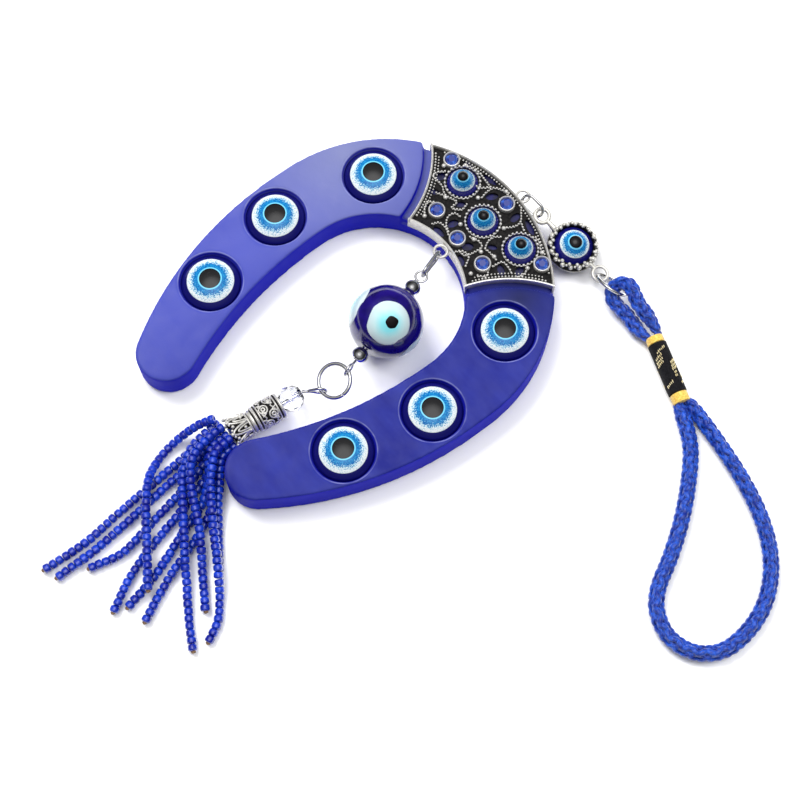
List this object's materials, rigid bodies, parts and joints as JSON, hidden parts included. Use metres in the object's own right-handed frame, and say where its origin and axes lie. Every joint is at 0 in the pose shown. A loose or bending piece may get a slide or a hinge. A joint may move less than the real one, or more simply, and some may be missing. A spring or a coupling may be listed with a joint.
{
  "type": "evil eye horseshoe ornament",
  "caption": "Hanging good-luck ornament: a blue glass horseshoe set with glass eyes, a crown plate, a bead drop with a beaded tassel, and a looped hanging cord.",
  "frame": {"origin": "on the flat back face of the glass horseshoe, at the middle of the crown's width", "axes": "+Z points out of the eyes' side; +Y runs through the crown toward the hanging ring and -Y toward the two tips; +X is to the right when the front is seen with the crown up, and the hanging cord lies out to +X"},
  "size_m": [0.1605, 0.1564, 0.0184],
  "materials": {
    "horseshoe_glass": "polished deep-blue glass",
    "arm_eye_glass": "clear glass dome over a printed eye",
    "plate_metal": "cast antique silver plating, blackened in its recesses",
    "small_eye_glass": "clear dome over a white, cyan and black eye",
    "faceted_stone": "faceted sapphire-blue rhinestone",
    "charm_metal": "cast antique silver plating",
    "ring_metal": "bright silver-plated wire",
    "spacer_metal": "polished silver-plated ball",
    "bead_glass": "opaque cobalt lampwork glass with raised eye spots",
    "crystal_glass": "clear faceted glass",
    "tube_metal": "antique silver with a raised pattern",
    "cap_metal": "antique silver",
    "thread": "knotted beading thread",
    "seed_bead_glass": "translucent royal-blue seed beads",
    "cord": "braided satin cord",
    "wrap_thread": "yellow whipping thread",
    "sleeve_brocade": "black brocade with small gold marks"
  },
  "bodies": {
    "horseshoe": {"horseshoe_body": "horseshoe_glass", "arm_eye_1": "arm_eye_glass", "arm_eye_2": "arm_eye_glass", "arm_eye_3": "arm_eye_glass", "arm_eye_4": "arm_eye_glass", "arm_eye_5": "arm_eye_glass", "arm_eye_6": "arm_eye_glass", "crown_plate": "plate_metal", "plate_eye_1": "small_eye_glass", "plate_eye_2": "small_eye_glass", "plate_eye_3": "small_eye_glass", "crown_stone_1": "faceted_stone", "crown_stone_2": "faceted_stone", "crown_stone_3": "faceted_stone", "crown_stone_4": "faceted_stone", "crown_stone_5": "faceted_stone", "crown_stone_6": "faceted_stone"},
    "top_link_ring": {"top_link_ring": "ring_metal"},
    "charm": {"charm_setting": "charm_metal", "charm_eye": "small_eye_glass"},
    "cord_ring": {"cord_ring": "ring_metal"},
    "hanging_cord": {"hanging_cord_top": "cord", "cord_wrap_upper": "wrap_thread", "cord_sleeve": "sleeve_brocade", "cord_wrap_lower": "wrap_thread", "hanging_cord_loop": "cord"},
    "drop_ring": {"drop_ring": "ring_metal"},
    "drop_pin": {"drop_pin": "ring_metal"},
    "spacer_upper": {"spacer_upper": "spacer_metal"},
    "lampwork_bead": {"lampwork_bead": "bead_glass"},
    "spacer_lower": {"spacer_lower": "spacer_metal"},
    "link_ring": {"link_ring": "ring_metal"},
    "tassel": {"tassel_pin": "ring_metal", "tassel_knot": "thread", "tassel_strand_a": "seed_bead_glass", "tassel_strand_b": "seed_bead_glass", "tassel_strand_c": "seed_bead_glass", "tassel_strand_d": "seed_bead_glass", "tassel_strand_e": "seed_bead_glass", "tassel_strand_f": "seed_bead_glass", "tassel_strand_g": "seed_bead_glass", "tassel_strand_h": "seed_bead_glass", "tassel_strand_i": "seed_bead_glass", "tassel_strand_j": "seed_bead_glass", "tassel_strand_k": "seed_bead_glass"},
    "crystal_bead": {"crystal_bead": "crystal_glass"},
    "tube_bead": {"tube_bead": "tube_metal"},
    "tassel_cap": {"tassel_cap": "cap_metal"}
  },
  "joints": [
    {"name": "drop_ring_lift", "type": "hinge", "parent": "horseshoe", "child": "drop_ring", "pos_m": [0.00057, -0.01465, 0.0074], "axis": [-0.9375, -0.3479, 0], "range_deg": [-12, 60]},
    {"name": "drop_pin_swing", "type": "hinge", "parent": "drop_ring", "child": "drop_pin", "pos_m": [0.00293, -0.02099, 0.00908], "axis": [0, 0, -1], "range_deg": [0, 8]},
    {"name": "upper_spacer_spin", "type": "hinge", "parent": "drop_pin", "child": "spacer_upper", "pos_m": [0.0074, -0.0355, 0.0092], "axis": [0.2924, -0.9563, 0], "continuous": true},
    {"name": "lampwork_bead_spin", "type": "hinge", "parent": "drop_pin", "child": "lampwork_bead", "pos_m": [0.0074, -0.0355, 0.0092], "axis": [0.2924, -0.9563, 0], "continuous": true},
    {"name": "lower_spacer_spin", "type": "hinge", "parent": "drop_pin", "child": "spacer_lower", "pos_m": [0.0074, -0.0355, 0.0092], "axis": [0.2924, -0.9563, 0], "continuous": true},
    {"name": "link_ring_lift", "type": "hinge", "parent": "drop_pin", "child": "link_ring", "pos_m": [0.01195, -0.0505, 0.009], "axis": [-0.9925, 0.1219, 0], "range_deg": [-8, 50]},
    {"name": "tassel_lift", "type": "hinge", "parent": "link_ring", "child": "tassel", "pos_m": [0.01104, -0.05797, 0.00549], "axis": [-0.9925, 0.1219, 0], "range_deg": [-6, 50]},
    {"name": "crystal_spin", "type": "hinge", "parent": "tassel", "child": "crystal_bead", "pos_m": [0.0083, -0.0616, 0.0046], "axis": [-0.0872, -0.9962, 0], "continuous": true},
    {"name": "tube_spin", "type": "hinge", "parent": "tassel", "child": "tube_bead", "pos_m": [0.0083, -0.0616, 0.0046], "axis": [-0.0872, -0.9962, 0], "continuous": true},
    {"name": "cap_spin", "type": "hinge", "parent": "tassel", "child": "tassel_cap", "pos_m": [0.0083, -0.0616, 0.0046], "axis": [-0.0872, -0.9962, 0], "continuous": true},
    {"name": "top_ring_swing", "type": "hinge", "parent": "horseshoe", "child": "top_link_ring", "pos_m": [0.0005, 0.0126, 0.0074], "axis": [0, 0, 1], "range_deg": [0, 135]},
    {"name": "charm_lift", "type": "hinge", "parent": "top_link_ring", "child": "charm", "pos_m": [0.00667, 0.01364, 0.00569], "axis": [0.1219, -0.9925, 0], "range_deg": [0, 10]},
    {"name": "cord_ring_lift", "type": "hinge", "parent": "charm", "child": "cord_ring", "pos_m": [0.02913, 0.01642, 0.00255], "axis": [0, -1, 0], "range_deg": [0, 25]},
    {"name": "cord_swing", "type": "hinge", "parent": "cord_ring", "child": "hanging_cord", "pos_m": [0.03557, 0.01619, 0.00495], "axis": [0, 0.6428, -0.766], "range_deg": [-45, 0]}
  ]
}
